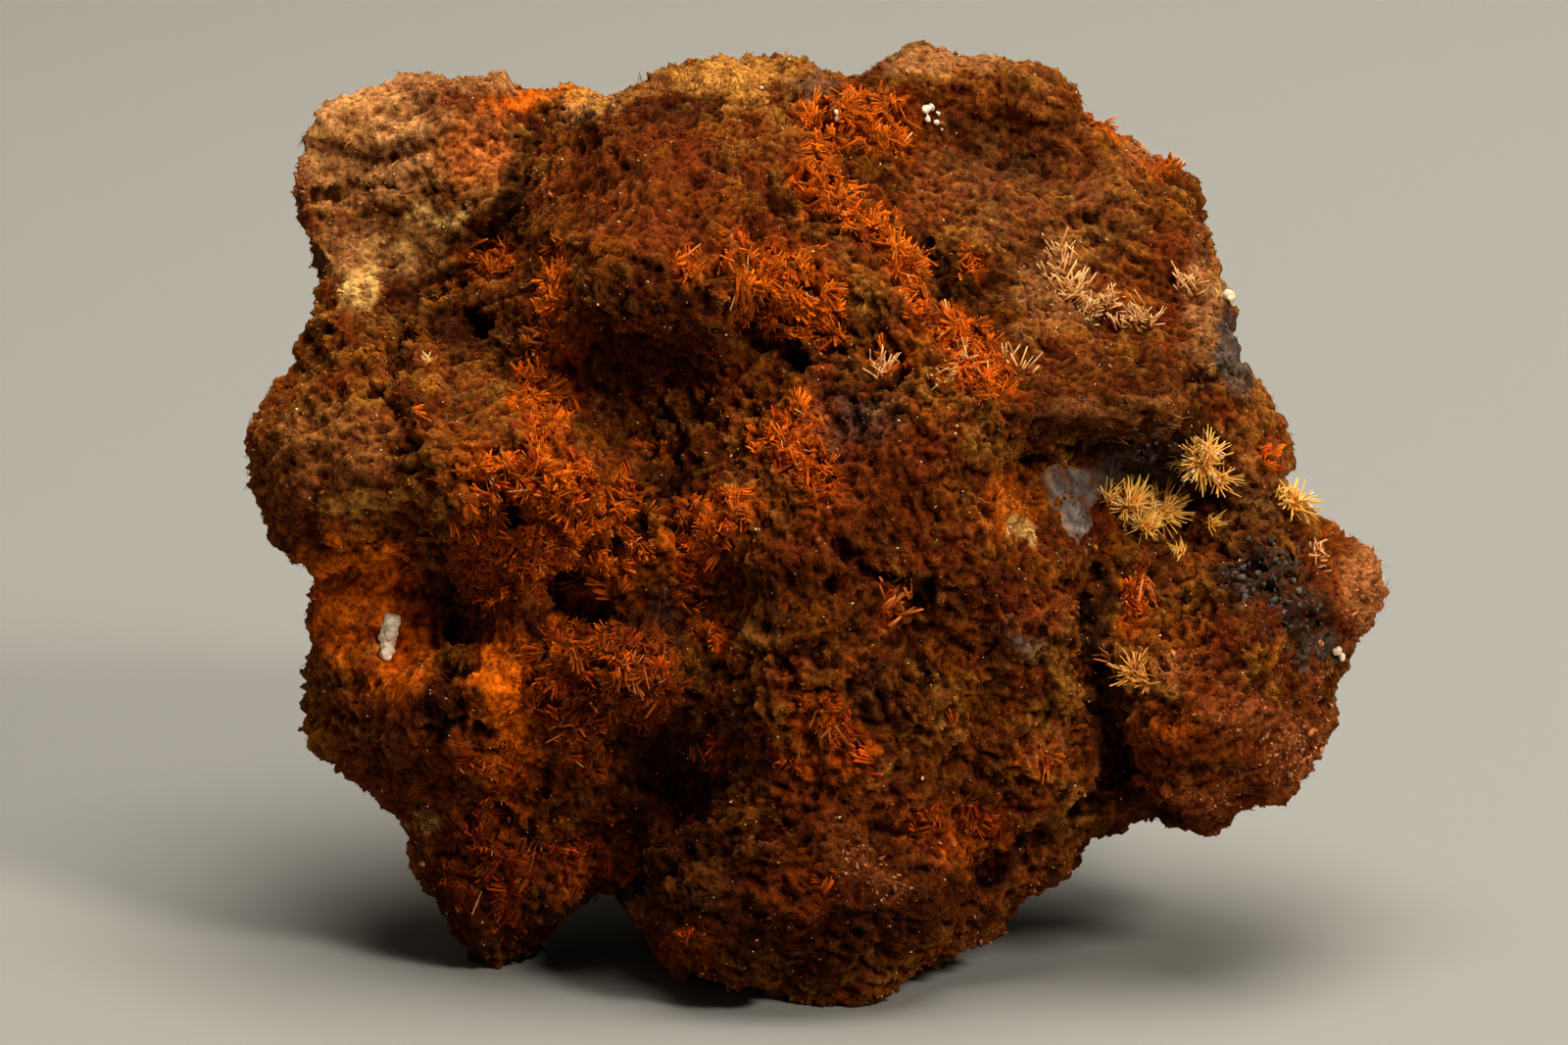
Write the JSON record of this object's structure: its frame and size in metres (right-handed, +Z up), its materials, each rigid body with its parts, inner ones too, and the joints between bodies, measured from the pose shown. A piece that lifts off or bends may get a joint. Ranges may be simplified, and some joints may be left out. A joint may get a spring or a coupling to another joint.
{
  "type": "parahopeite specimen",
  "caption": "Hand specimen of porous brown limonite gossan, with crusts of orange bladed crystals and small tan sprays of parahopeite needles in its hollows.",
  "frame": {"origin": "on the surface it stands on, under the middle of the box round it", "axes": "+Z up, +X to the right of the side shown in the picture, -Y out of that side towards the viewer"},
  "size_m": [0.038, 0.026, 0.0296],
  "materials": {
    "limonite": "dull, porous, earthy brown",
    "orange crust": "dull orange, bladed",
    "tan crystal": "glassy tan needles",
    "cream crystal": "glassy cream blades",
    "rust crystal": "glassy rust-red blades",
    "pale grain": "smooth off-white"
  },
  "bodies": {
    "root": {"limonite_matrix": "limonite", "orange_crust_top": "orange crust", "orange_crust_ridge": "orange crust", "orange_crust_face": "orange crust", "orange_crust_basin": "orange crust", "orange_crust_left": "orange crust", "orange_crust_middle": "orange crust", "orange_crust_lower": "orange crust", "tan_spray_upper": "tan crystal", "tan_spray_twin": "tan crystal", "tan_spray_edge": "tan crystal", "tan_spray_low": "tan crystal", "cream_spray_left": "cream crystal", "cream_spray_right": "cream crystal", "cream_spray_basin": "cream crystal", "rust_spray": "rust crystal", "pale_grain_left": "pale grain", "pale_grain_top": "pale grain", "pale_grain_right": "pale grain"}
  },
  "joints": []
}
